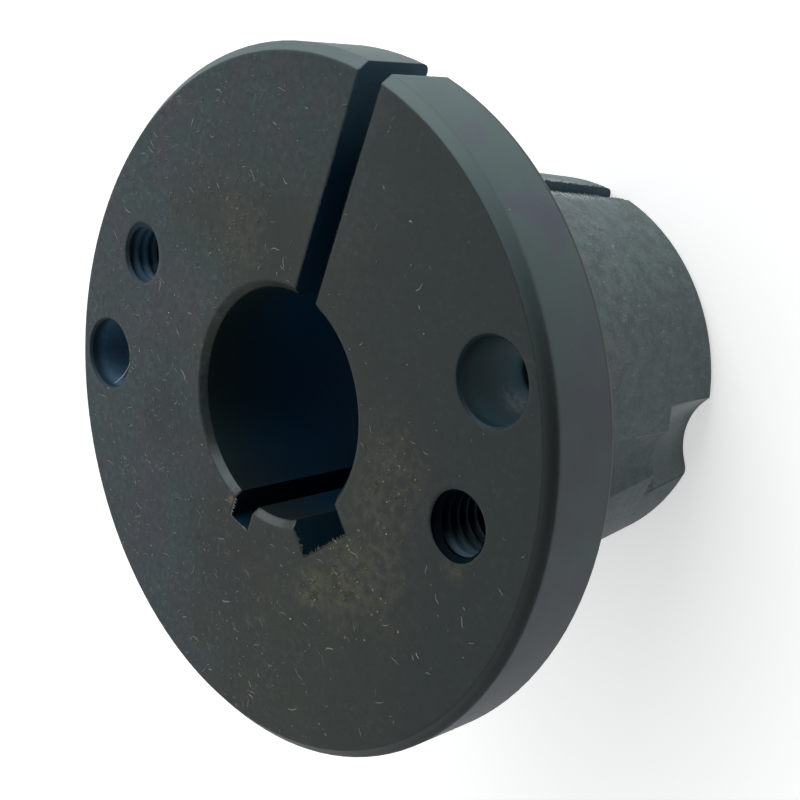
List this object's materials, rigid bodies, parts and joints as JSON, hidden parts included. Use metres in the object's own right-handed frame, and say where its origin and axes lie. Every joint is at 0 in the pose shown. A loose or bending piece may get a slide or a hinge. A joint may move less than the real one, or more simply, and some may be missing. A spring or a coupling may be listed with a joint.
{
  "type": "taper bush",
  "caption": "Split taper bush: round flange with clamping and jacking screw holes on a tapered barrel, with a keyed bore that closes on a shaft as the bush is drawn into its hub.",
  "frame": {"origin": "on the bore axis, in the plane of the barrel's small end, on which the bush stands", "axes": "+Z along the bore towards the flange's front face, +Y through the slit"},
  "size_m": [0.0604, 0.0604, 0.0385],
  "materials": {
    "blackened_iron": "fine-turned cast iron with a matt black oxide finish"
  },
  "bodies": {
    "root": {"split_taper_bush": "blackened_iron"}
  },
  "joints": []
}
